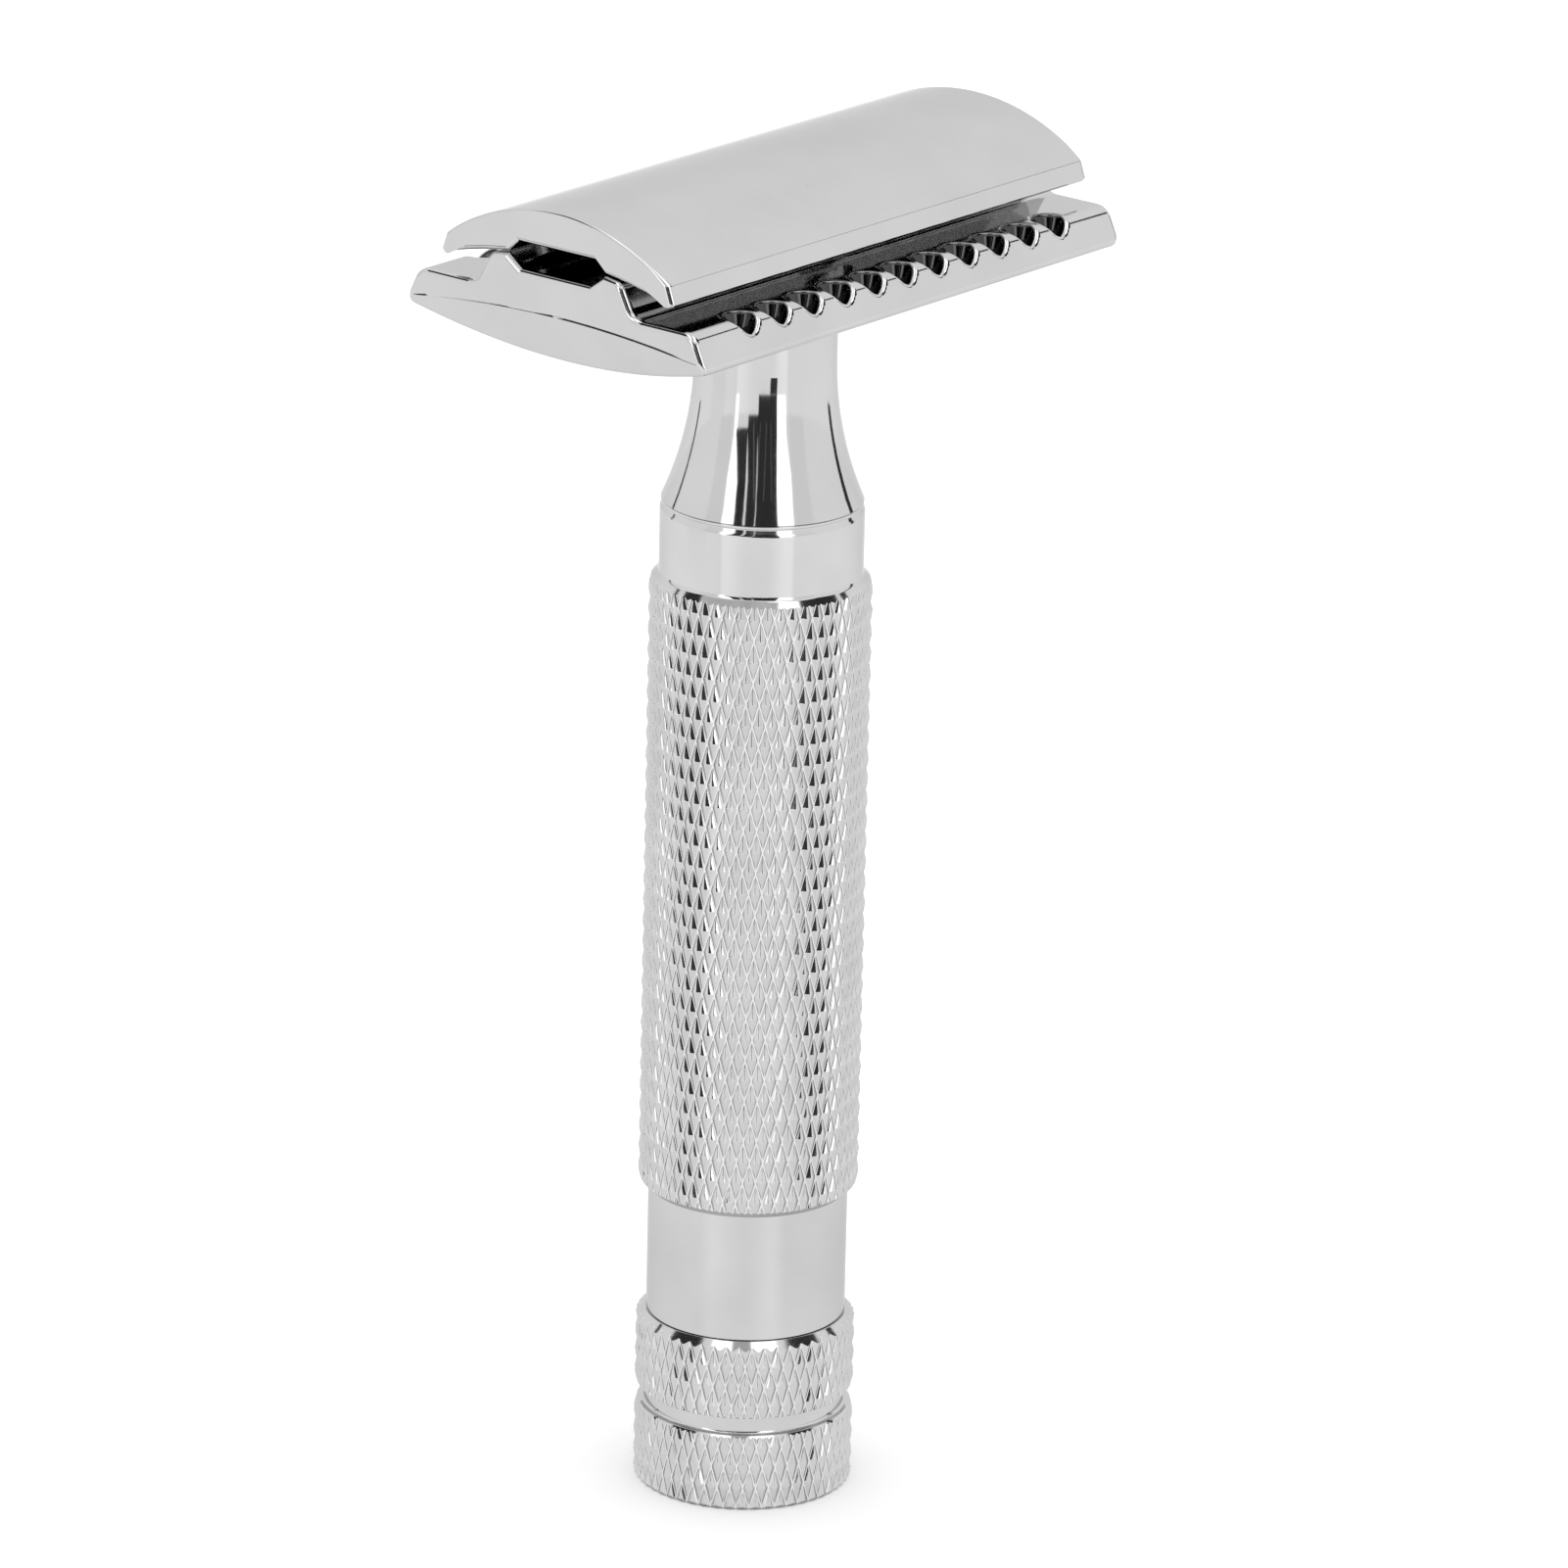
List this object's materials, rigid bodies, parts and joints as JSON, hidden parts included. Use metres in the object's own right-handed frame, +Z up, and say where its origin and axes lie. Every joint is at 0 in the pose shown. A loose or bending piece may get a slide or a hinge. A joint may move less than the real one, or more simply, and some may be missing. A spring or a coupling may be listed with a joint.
{
  "type": "safety razor",
  "caption": "Chrome twist-to-open safety razor: knurled handle with a turning knob, scalloped guard plate and a domed cap that the knob lifts to take a double-edge blade.",
  "frame": {"origin": "centre of the knob's foot, where the razor stands", "axes": "+Z up the handle to the cap, X along the two cutting edges, Y across them"},
  "size_m": [0.0426, 0.0248, 0.0919],
  "materials": {
    "polished_chrome": "mirror polished plating",
    "knurled_chrome": "plated over a diamond knurl, with polished collars",
    "stud_chrome": "plated machined stud and pins",
    "bush_brass": "turned, unplated",
    "rod_steel": "turned",
    "spring_steel": "tempered spring steel"
  },
  "bodies": {
    "handle": {"handle_barrel": "knurled_chrome", "neck": "polished_chrome", "base_plate": "polished_chrome", "upper_bush": "bush_brass", "lower_bush": "bush_brass"},
    "twist_drive": {"knob": "knurled_chrome", "drive_rod": "rod_steel", "threaded_socket": "bush_brass", "cross_pin": "rod_steel", "foot_screw": "rod_steel", "lock_washer": "spring_steel", "spring_washer": "spring_steel", "thrust_washer": "rod_steel", "retaining_clip": "spring_steel"},
    "cap": {"top_cap": "polished_chrome", "cap_stud": "stud_chrome", "locating_pin_left": "stud_chrome", "locating_pin_right": "stud_chrome"}
  },
  "joints": [
    {"name": "knob_turn", "type": "hinge", "parent": "handle", "child": "twist_drive", "pos_m": [0, 0, 0], "axis": [0, 0, -1], "range_deg": [0, 2880]},
    {"name": "cap_lift", "type": "slide", "parent": "handle", "child": "cap", "axis": [0, 0, 1], "range_m": [0, 0.0064]}
  ],
  "couplings": [
    {"joint": "cap_lift", "follows": "knob_turn", "m_per_rad": 0.00012732}
  ]
}
